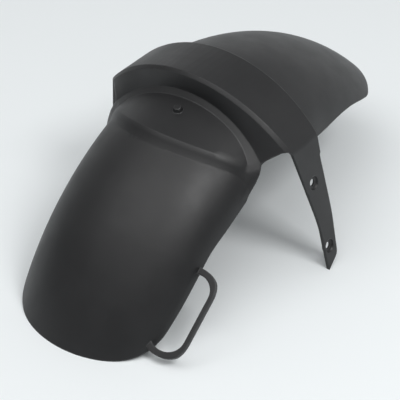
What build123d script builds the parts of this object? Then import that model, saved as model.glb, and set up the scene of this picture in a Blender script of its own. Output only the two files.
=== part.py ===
from build123d import *
import os
from math import atan2, cos, degrees, hypot, radians, sin, sqrt, tan

os.makedirs("parts", exist_ok=True)

# Front mudguard of a motorcycle, moulded in one piece and standing on its rear lip and two leg tips.
# Millimetres, +Z up from the floor, +Y towards the front lobe, X across the wheel.
# Points given as pairs are (y, z) in the side view.

# Moulded wall
wall = 3.0

# Saddle band: an arch across the fork, with a splayed leg at each end
band_top = 171.7
band_arch_radius = 124.0
band_front_y = 26.5
shoulder_half_width = 97.0
shoulder_round = 12.0
leg_foot_half_width = 128.0

# Step up to the band: upright in the middle, leaning back over the shoulders
band_step_foot = (-22.3, band_top - 28.7)
band_step_foot_reach = (85.2, -25.9, -56.3)
band_step_head = (-23.1, band_top + 5.3)
band_step_head_reach = (116.0, 21.3, -81.6)
band_step_floor = band_top - 57.7
cove_back = 9.0
cove_inside = 6.2
cove_share = 0.52
leg_shelf_y = -8.0
leg_shelf_z = band_top - 59.7
leg_ledge_z = band_top - 65.7
leg_ledge_run = 4.0

# Panel between the band and the rear lobe
panel_half_width = 79.6
panel_depth = 54.0
panel_slope = 11.5
panel_drop = 31.7
panel_crown = (-70.0, band_top - panel_drop)
panel_round_centre_y = 3.2
panel_round_radius = 74.9
panel_round_draft = 13.2
panel_round_lean = 15.4
panel_front_y = 6.0

# Pip on the panel
pip_y = -40.6
pip_radius = 3.8
pip_height = 1.8
pip_draft = 28.0
pip_root = 0.6

# Rear lobe: a half-ellipse turned about an axis across the wheel
rear_crown = (-78.7, band_top - 41.7)
rear_tip = (-207.3, 0.0)
rear_radius = 275.0
rear_half_width = 79.0
rear_depth = 57.0
rear_tuck = 31.0

# Front lobe: a half-ellipse turned about an axis across the wheel
front_step = 1.6
front_tip = (207.3, 79.3)
front_radius = 336.0
front_half_width = 79.0
front_depth = 62.0
front_tuck = 4.0

# Lower edge in the side view
lip_bend_y = -174.0
lip_bend_radius = 75.0
rear_edge_knee = (-98.0, 66.3)
rear_edge_knee_radius = 80.0
notch_foot = (-48.5, band_top - 81.2)
notch_foot_radius = 10.0
notch_bend = (-27.8, band_top - 52.8)
notch_bend_radius = 25.0
notch_top = (-12.0, band_top - 41.5)
notch_top_radius = 5.0
leg_knee = (9.4, 48.0)
leg_knee_radius = 60.0
leg_tip_y = 8.4
leg_heel = (25.8, 8.5)
leg_heel_radius = 8.0
leg_back = (28.2, 50.0)
leg_back_radius = 150.0
leg_crotch = (24.6, band_top - 55.7)
leg_crotch_radius = 4.0
front_edge_start = (42.0, 96.5)
front_edge_start_radius = 10.0
front_edge_crest = (106.0, 99.6)
front_edge_crest_radius = 150.0
front_edge_end_y = 163.0
front_edge_end_radius = 30.0

# Bolt holes of the legs: a through hole at the bottom of a cup for the bolt head
bolt_holes = ((10.4, 86.2), (16.4, 20.9))
hole_radius = 3.3
cup_radius = 6.2
cup_depth = 3.6
cup_floor = 2.0
cup_wall = 1.0

# Hose loop on the right edge of the rear lobe: a flat bar in a plane along that edge
loop_top = (-111.0, 55.0)
loop_slope = 38.0
loop_length = 75.0
loop_reach = 96.5
loop_root = 60.0
loop_bar_width = 5.4
loop_bar_thickness = 4.0
loop_corner_radius = 17.0
loop_lift = 1.0

# Bevels along the creases
band_crease = 2.6
panel_crease = 2.6

# Reach of construction solids past the finished edges
margin = 25.0


shoulder_z = band_top - band_arch_radius + sqrt(band_arch_radius**2 - shoulder_half_width**2)


def arc_centre(first, second, radius):
    """Centre (y, z) of the arc of this radius through two points, below their chord."""
    half_y = (second[0] - first[0]) / 2
    half_z = (second[1] - first[1]) / 2
    half_chord = hypot(half_y, half_z)
    sagitta_leg = sqrt(radius**2 - half_chord**2)
    centre_y = first[0] + half_y + half_z / half_chord * sagitta_leg
    centre_z = first[1] + half_z - half_y / half_chord * sagitta_leg
    return centre_y, centre_z


def forward_angle(centre, point):
    """Angle of a point about a centre, in radians forward of straight up."""
    return atan2(point[0] - centre[0], point[1] - centre[1])


def lobe(centre, radius, half_width, depth, lead, trail, inset):
    """Solid under a lobe, between two angles in radians forward of straight up."""
    section = Plane((0, *centre), x_dir=(1, 0, 0), z_dir=(0, -cos(lead), sin(lead)))
    equator = radius - depth
    across = half_width - inset
    with BuildPart() as body:
        with BuildSketch(section):
            with BuildLine():
                crown = EllipticalCenterArc((0, equator), across, depth - inset, 0, arc_size=180)
                Polyline(crown @ 1, (-across, equator - margin), (across, equator - margin), crown @ 0)
            make_face()
        revolve(axis=Axis((0, *centre), (1, 0, 0)), revolution_arc=degrees(lead - trail))
    return body.part


def panel(inset):
    """Solid under the panel: a half-ellipse along the slope, rounded at its rear in plan."""
    slope = radians(panel_slope)
    crown_z = panel_crown[1] + (panel_front_y - panel_crown[0]) * tan(slope)
    across = panel_half_width - inset
    side_z = crown_z - panel_depth
    base_z = side_z - 2 * margin
    with BuildPart() as body:
        with BuildSketch(Plane.XZ.offset(-panel_front_y)):
            with BuildLine():
                crown = EllipticalCenterArc((0, side_z), across, panel_depth - inset, 0, arc_size=180)
                Polyline(crown @ 1, (-across, base_z), (across, base_z), crown @ 0)
            make_face()
        extrude(amount=2 * panel_round_radius, dir=(0, -cos(slope), -sin(slope)))
        with BuildSketch(Plane.XY) as low_round:
            with Locations((0, panel_round_centre_y - panel_crown[1] * tan(radians(panel_round_lean)))):
                Circle(panel_round_radius + panel_crown[1] * tan(radians(panel_round_draft)) - inset)
        with BuildSketch(Plane.XY.offset(band_top)) as high_round:
            with Locations((0, panel_round_centre_y + panel_drop * tan(radians(panel_round_lean)))):
                Circle(panel_round_radius - panel_drop * tan(radians(panel_round_draft)) - inset)
        loft(ruled=True, mode=Mode.INTERSECT)
    return body.part


def step_section(crown, reach, inset):
    """Arched section across the step to the band; reach is the run of its ends from its crown."""
    lean = atan2(reach[1], -reach[2])
    section = Plane((0, crown[0] + inset, crown[1]), x_dir=(1, 0, 0), z_dir=(0, -cos(lean), -sin(lean)))
    end_x = reach[0] - inset
    end_drop = -hypot(reach[1], reach[2])
    with BuildSketch(section) as profile:
        with BuildLine():
            arch = ThreePointArc((end_x, end_drop), (0, -inset), (-end_x, end_drop))
            Polyline(arch @ 1, (-end_x, -4 * margin), (end_x, -4 * margin), arch @ 0)
        make_face()
    return profile.sketch


def step_cove():
    """Solid under the bevel at the foot of the step to the band."""
    back = (band_step_foot[0] - cove_back, band_step_foot[1])
    inside = [low + cove_share * (high - low) for low, high in zip(band_step_foot, band_step_head)]
    inside[0] += cove_inside
    inside_reach = [
        low + cove_share * (high - low) for low, high in zip(band_step_foot_reach, band_step_head_reach)
    ]
    lower = step_section(back, band_step_foot_reach, 0)
    upper = step_section(inside, inside_reach, 0)
    with BuildPart() as body:
        loft([lower, upper], ruled=True)
        split(bisect_by=Plane.XY.offset(band_step_floor), keep=Keep.TOP)
    return body.part


def leg_outer_x(z):
    """Distance of a leg's outer face from the middle at a height."""
    return shoulder_half_width + (leg_foot_half_width - shoulder_half_width) * (1 - z / shoulder_z)


def saddle(inset):
    """Solid under the band, its step and its legs."""
    foot = step_section(band_step_foot, band_step_foot_reach, inset)
    head = step_section(band_step_head, band_step_head_reach, inset)
    head_lean = band_step_head_reach[1] / band_step_head_reach[2]
    top_z = band_top + margin
    head_top_y = band_step_head[0] + (top_z - band_step_head[1]) * head_lean
    head_shelf_y = band_step_head[0] + (leg_shelf_z - band_step_head[1]) * head_lean
    with BuildPart() as step:
        loft([foot, head], ruled=True)
        split(bisect_by=Plane.XY.offset(band_step_floor - inset), keep=Keep.TOP)
    with BuildPart() as reach:
        with BuildSketch(Plane.YZ):
            with BuildLine():
                Polyline(
                    (head_top_y + inset, top_z),
                    (head_shelf_y + inset, leg_shelf_z),
                    (leg_shelf_y - inset, leg_shelf_z),
                    (leg_shelf_y - inset, -margin),
                    (band_front_y + leg_ledge_run + inset, -margin),
                    (band_front_y + leg_ledge_run + inset, leg_ledge_z + inset),
                    (band_front_y - inset, leg_ledge_z + inset),
                    (band_front_y - inset, top_z),
                    close=True,
                )
            make_face()
        extrude(amount=leg_foot_half_width + margin, both=True)
        add(step.part)
    right_shoulder = (shoulder_half_width, shoulder_z)
    left_shoulder = (-shoulder_half_width, shoulder_z)
    buried_half_width = leg_outer_x(-margin)
    with BuildPart() as body:
        with BuildSketch(Plane.XZ.offset(-band_front_y - margin)) as arch:
            with BuildLine():
                crown = ThreePointArc(right_shoulder, (0, band_top), left_shoulder)
                Polyline(crown @ 1, (-buried_half_width, -margin), (buried_half_width, -margin), crown @ 0)
            make_face()
            fillet(arch.vertices().group_by(Axis.Y)[-1], shoulder_round)
            if inset > 0:
                offset(amount=-inset, kind=Kind.INTERSECTION, mode=Mode.REPLACE)
        extrude(amount=band_front_y + 4 * margin)
        add(reach.part, mode=Mode.INTERSECT)
    return body.part


rear_centre = arc_centre(rear_tip, rear_crown, rear_radius)
front_crown = (band_front_y, band_top - front_step)
front_centre = arc_centre(front_crown, front_tip, front_radius)
panel_step_y = panel_round_centre_y - panel_round_radius
rear_lead = forward_angle(rear_centre, rear_crown) + rear_tuck / rear_radius
rear_trail = forward_angle(rear_centre, rear_tip) - margin / rear_radius
front_lead = forward_angle(front_centre, front_tip) + margin / front_radius
front_trail = forward_angle(front_centre, front_crown) - front_tuck / front_radius
slope = radians(panel_slope)
panel_step_z = panel_crown[1] + (panel_step_y - panel_crown[0]) * tan(slope)
pip_z = panel_crown[1] + (pip_y - panel_crown[0]) * tan(slope)
pip_plane = Plane((0, pip_y, pip_z), x_dir=(1, 0, 0), z_dir=(0, -sin(slope), cos(slope)))


def forms(inset):
    """The four forms, each drawn in by the inset."""
    rear = lobe(rear_centre, rear_radius, rear_half_width, rear_depth, rear_lead, rear_trail, inset)
    front = lobe(front_centre, front_radius, front_half_width, front_depth, front_lead, front_trail, inset)
    return rear, panel(inset), saddle(inset), front


rear_form, panel_form, band_form, front_form = forms(0)

# Space below the lower edge, seen from the side
with BuildPart() as below_edge:
    with BuildSketch(Plane.YZ):
        with BuildLine():
            edge = FilletPolyline(
                (rear_tip[0] - margin, 0),
                (lip_bend_y, 0),
                rear_edge_knee,
                notch_foot,
                notch_bend,
                notch_top,
                leg_knee,
                (leg_tip_y, 0),
                leg_heel,
                leg_back,
                leg_crotch,
                front_edge_start,
                front_edge_crest,
                (front_edge_end_y, front_tip[1]),
                (front_tip[0] + margin, front_tip[1]),
                radius=(
                    lip_bend_radius,
                    rear_edge_knee_radius,
                    notch_foot_radius,
                    notch_bend_radius,
                    notch_top_radius,
                    leg_knee_radius,
                    0,
                    leg_heel_radius,
                    leg_back_radius,
                    leg_crotch_radius,
                    front_edge_start_radius,
                    front_edge_crest_radius,
                    front_edge_end_radius,
                ),
            )
            Polyline(
                edge @ 1,
                (front_tip[0] + margin, -4 * margin),
                (rear_tip[0] - margin, -4 * margin),
                edge @ 0,
            )
        make_face()
    extrude(amount=leg_foot_half_width + margin, both=True)

# Panel with its edge bevelled, then joined to the rear lobe
with BuildPart() as back:
    add(panel_form)
    chamfer(back.edges().sort_by_distance((0, panel_step_y, panel_step_z))[0], panel_crease)
    add(rear_form)

# Band with its edge bevelled
with BuildPart() as band:
    add(band_form)
    chamfer(band.edges().sort_by_distance((0, band_step_head[0], band_top))[0], band_crease)

# Outer form: all joined, with the pip on the panel, down to the lower edge
cove = step_cove()
with BuildPart() as outer:
    add(back.part)
    add(band.part)
    add(cove)
    add(front_form)
    add(below_edge.part, mode=Mode.SUBTRACT)
    with BuildSketch(pip_plane.offset(-pip_root)):
        Circle(pip_radius)
    extrude(amount=pip_root + pip_height, taper=pip_draft)

# Hollow inside the wall, less the cups of the bolt holes
cups = [(side, y, z) for side in (-1, 1) for y, z in bolt_holes]
with BuildPart() as cavity:
    for form in forms(wall):
        add(form)
    for side, y, z in cups:
        with BuildSketch(Plane.YZ.offset(side * (leg_outer_x(z) - cup_depth - cup_floor))):
            with Locations((y, z)):
                Circle(cup_radius + cup_wall)
        extrude(amount=side * (cup_depth + cup_floor + margin), mode=Mode.SUBTRACT)

# Hose loop, clear of the hollow
loop_turn = radians(loop_slope)
loop_plane = Plane((0, *loop_top), x_dir=(1, 0, 0), z_dir=(0, -sin(loop_turn), cos(loop_turn)))
with BuildPart() as loop:
    with BuildSketch(loop_plane.offset(loop_lift)):
        with Locations(((loop_root + loop_reach) / 2, -loop_length / 2)):
            RectangleRounded(
                loop_reach - loop_root + loop_bar_width,
                loop_length + loop_bar_width,
                loop_corner_radius + loop_bar_width / 2,
            )
            RectangleRounded(
                loop_reach - loop_root - loop_bar_width,
                loop_length - loop_bar_width,
                loop_corner_radius - loop_bar_width / 2,
                mode=Mode.SUBTRACT,
            )
    extrude(amount=loop_bar_thickness / 2, both=True)
    add(cavity.part, mode=Mode.SUBTRACT)

# Finished moulding
with BuildPart() as mudguard:
    add(outer.part)
    add(cavity.part, mode=Mode.SUBTRACT)
    add(loop.part)
    for side, y, z in cups:
        with BuildSketch(Plane.YZ.offset(side * (leg_outer_x(z) - cup_depth))):
            with Locations((y, z)):
                Circle(cup_radius)
        extrude(amount=side * (cup_depth + margin), mode=Mode.SUBTRACT)
    with BuildSketch(Plane.YZ):
        with Locations(*bolt_holes):
            Circle(hole_radius)
    extrude(amount=leg_foot_half_width + margin, both=True, mode=Mode.SUBTRACT)

mudguard.part.label = "mudguard"
export_step(mudguard.part, "parts/mudguard.step")
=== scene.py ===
import math

import bmesh
import bpy
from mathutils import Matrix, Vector


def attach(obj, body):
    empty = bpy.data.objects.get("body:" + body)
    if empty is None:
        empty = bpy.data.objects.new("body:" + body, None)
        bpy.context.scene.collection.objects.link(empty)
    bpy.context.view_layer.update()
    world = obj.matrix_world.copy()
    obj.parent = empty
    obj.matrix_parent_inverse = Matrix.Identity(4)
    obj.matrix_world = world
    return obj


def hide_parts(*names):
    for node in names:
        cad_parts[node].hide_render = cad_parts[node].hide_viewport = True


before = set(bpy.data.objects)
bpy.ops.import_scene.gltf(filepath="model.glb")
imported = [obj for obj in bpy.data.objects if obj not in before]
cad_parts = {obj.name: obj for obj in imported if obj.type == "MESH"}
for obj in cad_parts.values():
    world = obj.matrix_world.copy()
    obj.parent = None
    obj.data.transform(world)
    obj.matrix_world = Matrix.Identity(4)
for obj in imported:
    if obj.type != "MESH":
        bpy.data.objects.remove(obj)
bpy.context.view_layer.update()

# Sizes in metres, angles in degrees. X runs across the guard, Y along it to the front, Z up.

# Mesh of the guard
weld_distance = 0.00001
sliver_size = 0.0007
sharp_angle = 10.0

# Notch between the panel and a leg, where the panel's side flares to meet the foot of the band's step
step_foot = Vector((0.0739, -0.0314, 0.1140))
step_overhang = 0.0058
step_edge_share = 0.2
level_slack = 0.001
flare_bottom_z = 0.093
flare_run = 0.010
flare_past_edge = 0.5
side_inner_x = 0.060
side_slant = 0.19
notch_slant = 0.719

# Rear edge of a leg beside the foot of the step
leg_edge_top = Vector((0.0996, -0.0078, 0.1140))
leg_edge_bottom = Vector((0.1002, -0.0073, 0.1120))
leg_edge_depth = 0.004

# Rear edge of a leg below that, in side view: one long curve up from the tip
leg_tip_y = 0.0104
leg_edge_lean = 0.0658
leg_edge_bend = 2.48
leg_curve_top_z = 0.058
leg_rear_from_y = -0.020
leg_rear_to_y = 0.0095

# Outer face of a leg, which splays outwards towards the floor
leg_foot_x = 0.128
leg_splay = 0.2482
leg_inner_x = 0.090

# Bolt holes of a leg, each in the floor of a cup with a boss behind it: middles in side view,
# reach from the middle to past each wall, and depths below the outer face
bolt_holes = (Vector((0.0104, 0.0862)), Vector((0.0164, 0.0209)))
hole_reach = 0.0045
cup_reach = 0.0067
boss_reach = 0.0078
boss_radius = 0.0066
mouth_depth = 0.0009
hole_middle_depth = 0.0046
boss_root_depth = 0.0034
cup_floor_depth = 0.0018
boss_end_depth = 0.0036

# Hose loop on the right edge
loop_root_x = 0.0800
loop_inner_x = 0.0938
loop_outer_x = 0.0992
loop_front_y = -0.105
loop_narrowing = 0.0016

# Small round pip on the panel
pip_foot = Vector((0.0, -0.0406, 0.1460))
pip_reach = 0.0037
pip_below = 0.0015
pip_top_reach = 0.0031
pip_growth = 1.25
pip_lift = Vector((0.0, -0.0004, 0.0016))

# Black plastic: each noise is a scale and a detail, each range a low and a high end
pigment_dark = (0.0085, 0.0085, 0.0092, 1.0)
pigment_pale = (0.0125, 0.0125, 0.0133, 1.0)
pigment_noise = (18.0, 4.0)
pigment_range = (0.35, 0.65)
edge_round = 0.0014
edge_samples = 8
edge_turn_range = (0.995, 0.90)
worn_colour = (0.060, 0.061, 0.063, 1.0)
scuff_noise = (140.0, 3.0)
scuff_range = (0.35, 0.7)
scuff_strength = (0.25, 1.0)
handling_noise = (42.0, 5.0)
handling_range = (0.3, 0.7)
sheen_roughness = (0.43, 0.51)
grain_noise = (1400.0, 2.0)
grain_strength = 0.25
grain_depth = 0.0002
noise_roughness = 0.55
none_to_full = (0.0, 1.0)

# Floor
floor_reach = 6.0
floor_colour = (0.84, 0.87, 0.88, 1.0)
floor_roughness = 0.8

# Light
side_light_from = Vector((0.60, -0.06, 0.80))
side_light_distance = 2.2
side_light_size = (0.7, 0.7)
side_light_power = 17.0
near_light_from = Vector((0.02, -0.36, 0.93))
near_light_distance = 2.2
near_light_size = (3.0, 1.5)
near_light_power = 25.0
tent_colour = (0.97, 0.99, 1.0, 1.0)
tent_light = 0.42
tent_height_range = (0.20, 0.45)
horizon_from = Vector((-0.30, 0.95, 0.0))
horizon_range = (0.0, 0.6)
horizon_light = (0.0, 1.05)

# Camera
camera_target = Vector((0.0, -0.00965, 0.03116))
camera_azimuth = 36.87
camera_elevation = 37.77
camera_distance = 1.28418
camera_lens_mm = 127.9
camera_sensor_mm = 36.0


def new_material(name):
    material = bpy.data.materials.new(name)
    material.use_nodes = True
    return material, material.node_tree.nodes["Principled BSDF"]


def noise(nodes, links, coordinates, scale_and_detail):
    scale, detail = scale_and_detail
    texture = nodes.new("ShaderNodeTexNoise")
    texture.inputs["Scale"].default_value = scale
    texture.inputs["Detail"].default_value = detail
    texture.inputs["Roughness"].default_value = noise_roughness
    links.new(coordinates, texture.inputs["Vector"])
    return texture.outputs["Fac"]


def remap(nodes, links, value, from_range, to_range):
    mapping = nodes.new("ShaderNodeMapRange")
    mapping.inputs["From Min"].default_value = from_range[0]
    mapping.inputs["From Max"].default_value = from_range[1]
    mapping.inputs["To Min"].default_value = to_range[0]
    mapping.inputs["To Max"].default_value = to_range[1]
    links.new(value, mapping.inputs["Value"])
    return mapping.outputs["Result"]


def moulded_black_plastic():
    """Black plastic with the fine grain of its mould, rubbed paler along its edges."""
    material, shader = new_material("moulded black plastic")
    nodes = material.node_tree.nodes
    links = material.node_tree.links
    coordinates = nodes.new("ShaderNodeTexCoord").outputs["Object"]

    # Uneven pigment, a cloudy change over a few centimetres
    cloud = noise(nodes, links, coordinates, pigment_noise)
    pigment = nodes.new("ShaderNodeValToRGB")
    pigment.color_ramp.elements[0].color = pigment_dark
    pigment.color_ramp.elements[1].color = pigment_pale
    links.new(remap(nodes, links, cloud, pigment_range, none_to_full), pigment.inputs["Fac"])

    # Creases and rims look rounded, and are worn where they turn most
    rounded = nodes.new("ShaderNodeBevel")
    rounded.samples = edge_samples
    rounded.inputs["Radius"].default_value = edge_round
    surface = nodes.new("ShaderNodeNewGeometry")
    turn = nodes.new("ShaderNodeVectorMath")
    turn.operation = "DOT_PRODUCT"
    links.new(rounded.outputs["Normal"], turn.inputs[0])
    links.new(surface.outputs["Normal"], turn.inputs[1])
    edge = remap(nodes, links, turn.outputs["Value"], edge_turn_range, none_to_full)
    scuffs = noise(nodes, links, coordinates, scuff_noise)
    worn = nodes.new("ShaderNodeMath")
    worn.operation = "MULTIPLY"
    links.new(edge, worn.inputs[0])
    links.new(remap(nodes, links, scuffs, scuff_range, scuff_strength), worn.inputs[1])
    colour = nodes.new("ShaderNodeMix")
    colour.data_type = "RGBA"
    links.new(worn.outputs["Value"], colour.inputs["Factor"])
    links.new(pigment.outputs["Color"], colour.inputs["A"])
    colour.inputs["B"].default_value = worn_colour
    links.new(colour.outputs["Result"], shader.inputs["Base Color"])

    # Satin sheen that varies with handling
    handled = noise(nodes, links, coordinates, handling_noise)
    sheen = remap(nodes, links, handled, handling_range, sheen_roughness)
    links.new(sheen, shader.inputs["Roughness"])

    # Fine grain of the mould
    grain = nodes.new("ShaderNodeBump")
    grain.inputs["Strength"].default_value = grain_strength
    grain.inputs["Distance"].default_value = grain_depth
    links.new(noise(nodes, links, coordinates, grain_noise), grain.inputs["Height"])
    links.new(rounded.outputs["Normal"], grain.inputs["Normal"])
    links.new(grain.outputs["Normal"], shader.inputs["Normal"])
    return material


def pale_floor_finish():
    material, shader = new_material("pale floor")
    shader.inputs["Base Color"].default_value = floor_colour
    shader.inputs["Roughness"].default_value = floor_roughness
    return material


def flare_panel_side(shape):
    """Flare the panel's side along the notch, so that its edge runs on into the band's step."""
    flared = []
    for vert in shape.verts:
        across = abs(vert.co.x)
        rise = (vert.co.z - flare_bottom_z) / (step_foot.z - flare_bottom_z)
        edge_y = step_foot.y + notch_slant * (vert.co.z - step_foot.z)
        nearness = 1.0 - (edge_y - vert.co.y) / flare_run
        side_x = step_foot.x + side_slant * (vert.co.y - step_foot.y)
        in_height = 0.0 < rise < 1.0 + level_slack
        in_run = 0.0 < nearness < 1.0 + flare_past_edge
        on_step = rise > 1.0 - level_slack and across > side_x + step_edge_share * step_overhang
        if in_height and in_run and across > side_inner_x and not on_step:
            across += step_overhang * rise * min(nearness, 1.0)
            vert.co.x = math.copysign(across, vert.co.x)
            flared.append(vert)
    return flared


def straighten_leg_edge(shape):
    """Carry each leg's rear edge straight past the foot of the band's step."""
    straightened = []
    for vert in shape.verts:
        beside_foot = leg_edge_bottom.z - weld_distance < vert.co.z < leg_edge_top.z + weld_distance
        on_leg = abs(vert.co.x) > leg_edge_top.x - leg_edge_depth
        if beside_foot and on_leg and vert.co.y < leg_edge_bottom.y + leg_edge_depth:
            share = (vert.co.z - leg_edge_bottom.z) / (leg_edge_top.z - leg_edge_bottom.z)
            vert.co.y = leg_edge_bottom.y + share * (leg_edge_top.y - leg_edge_bottom.y)
            straightened.append(vert)
    return straightened


def curve_leg_edge(shape):
    """Bend the rear edge of each leg in one long curve."""
    for vert in shape.verts:
        on_leg = abs(vert.co.x) > leg_inner_x and vert.co.z < leg_curve_top_z
        by_hole = min((vert.co.yz - hole).length for hole in bolt_holes) < boss_reach
        if on_leg and not by_hole and leg_rear_from_y < vert.co.y < leg_rear_to_y:
            vert.co.y = leg_tip_y + leg_edge_lean * vert.co.z - leg_edge_bend * vert.co.z ** 2


def flatten_bolt_hole(shape, hole):
    """Make a bolt hole's cup shallow and the boss behind it low, on both legs."""
    for vert in shape.verts:
        out = vert.co.yz - hole
        depth = leg_foot_x - leg_splay * vert.co.z - abs(vert.co.x)
        if abs(vert.co.x) > leg_inner_x and out.length < boss_reach and depth > mouth_depth:
            if out.length < hole_reach:
                in_front = depth < hole_middle_depth - leg_splay * out.y
                depth = cup_floor_depth if in_front else boss_end_depth
            elif out.length < cup_reach:
                depth = cup_floor_depth
            else:
                depth = boss_end_depth if depth > boss_root_depth else depth
                vert.co.yz = hole + out.normalized() * boss_radius
            across = leg_foot_x - leg_splay * vert.co.z - depth
            vert.co.x = math.copysign(across, vert.co.x)


def narrow_loop_bar(shape):
    """Narrow the hose loop's long side from within; its two arms keep their thickness."""
    for vert in shape.verts:
        if vert.co.x > loop_root_x and vert.co.y < loop_front_y:
            if vert.co.x < loop_inner_x:
                share = (vert.co.x - loop_root_x) / (loop_inner_x - loop_root_x)
            else:
                share = (loop_outer_x - vert.co.x) / (loop_outer_x - loop_inner_x)
            vert.co.x += loop_narrowing * max(share, 0.0)


def raise_pip(shape):
    """Make the small round pip on the panel wider and taller."""
    for vert in shape.verts:
        out = vert.co - pip_foot
        if out.xy.length < pip_reach and out.z > -pip_below:
            vert.co = pip_foot + pip_growth * out
            if out.xy.length < pip_top_reach:
                vert.co += pip_lift


def clear_slivers(shape, moved):
    """Merge what came close together round the notch, and take out thin faces level with the step's foot."""
    around = {other for vert in moved for edge in vert.link_edges for other in edge.verts}
    bmesh.ops.remove_doubles(shape, verts=list(around), dist=sliver_size)
    level = [vert for vert in shape.verts if abs(vert.co.z - step_foot.z) < weld_distance]
    level_edges = {edge for vert in level for edge in vert.link_edges}
    bmesh.ops.dissolve_degenerate(shape, dist=sliver_size, edges=list(level_edges))


def guard_skin(node):
    """The moulding: a welded copy of the solid's mesh, its small forms refined and its curves smooth."""
    mesh = node.data.copy()
    mesh.name = "mudguard_skin"
    shape = bmesh.new()
    shape.from_mesh(mesh)
    bmesh.ops.remove_doubles(shape, verts=shape.verts, dist=weld_distance)
    clear_slivers(shape, flare_panel_side(shape) + straighten_leg_edge(shape))
    narrow_loop_bar(shape)
    for hole in bolt_holes:
        flatten_bolt_hole(shape, hole)
    curve_leg_edge(shape)
    raise_pip(shape)
    for face in shape.faces:
        face.smooth = True
    shape.to_mesh(mesh)
    shape.free()
    mesh.set_sharp_from_angle(angle=math.radians(sharp_angle))
    mesh.materials.clear()
    mesh.materials.append(moulded_black_plastic())
    skin = bpy.data.objects.new("mudguard_skin", mesh)
    bpy.context.scene.collection.objects.link(skin)
    return skin


def floor():
    shape = bmesh.new()
    bmesh.ops.create_grid(shape, x_segments=1, y_segments=1, size=floor_reach)
    mesh = bpy.data.meshes.new("floor")
    shape.to_mesh(mesh)
    shape.free()
    mesh.materials.append(pale_floor_finish())
    ground = bpy.data.objects.new("floor", mesh)
    bpy.context.scene.collection.objects.link(ground)


def softbox(name, comes_from, distance, size, power):
    lamp = bpy.data.lights.new(name, "AREA")
    lamp.shape = "RECTANGLE"
    lamp.size = size[0]
    lamp.size_y = size[1]
    lamp.energy = power
    panel = bpy.data.objects.new(name, lamp)
    direction = comes_from.normalized()
    panel.location = camera_target + direction * distance
    panel.rotation_euler = direction.to_track_quat("Z", "Y").to_euler()
    bpy.context.scene.collection.objects.link(panel)


def studio_world():
    """An even tent overhead, and low down a glow behind the guard."""
    world = bpy.data.worlds.new("studio")
    world.use_nodes = True
    nodes = world.node_tree.nodes
    links = world.node_tree.links
    direction = nodes.new("ShaderNodeTexCoord").outputs["Generated"]
    height = nodes.new("ShaderNodeSeparateXYZ")
    links.new(direction, height.inputs["Vector"])
    facing = nodes.new("ShaderNodeVectorMath")
    facing.operation = "DOT_PRODUCT"
    links.new(direction, facing.inputs[0])
    facing.inputs[1].default_value = horizon_from
    behind = remap(nodes, links, facing.outputs["Value"], horizon_range, horizon_light)
    overhead = remap(nodes, links, height.outputs["Z"], tent_height_range, none_to_full)
    strength = nodes.new("ShaderNodeMix")
    links.new(overhead, strength.inputs["Factor"])
    links.new(behind, strength.inputs["A"])
    strength.inputs["B"].default_value = tent_light
    background = nodes["Background"]
    background.inputs["Color"].default_value = tent_colour
    links.new(strength.outputs["Result"], background.inputs["Strength"])
    bpy.context.scene.world = world


def camera():
    azimuth = math.radians(camera_azimuth)
    elevation = math.radians(camera_elevation)
    back = Vector((
        math.sin(azimuth) * math.cos(elevation),
        -math.cos(azimuth) * math.cos(elevation),
        math.sin(elevation),
    ))
    lens = bpy.data.cameras.new("camera")
    lens.lens = camera_lens_mm
    lens.sensor_width = camera_sensor_mm
    eye = bpy.data.objects.new("camera", lens)
    eye.location = camera_target + back * camera_distance
    eye.rotation_euler = back.to_track_quat("Z", "Y").to_euler()
    bpy.context.scene.collection.objects.link(eye)
    bpy.context.scene.camera = eye


mudguard = guard_skin(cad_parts["mudguard"])
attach(mudguard, "root")
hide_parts("mudguard")

floor()
softbox("side softbox", side_light_from, side_light_distance, side_light_size, side_light_power)
softbox("near softbox", near_light_from, near_light_distance, near_light_size, near_light_power)
studio_world()
camera()
bpy.context.scene.view_settings.view_transform = "Standard"
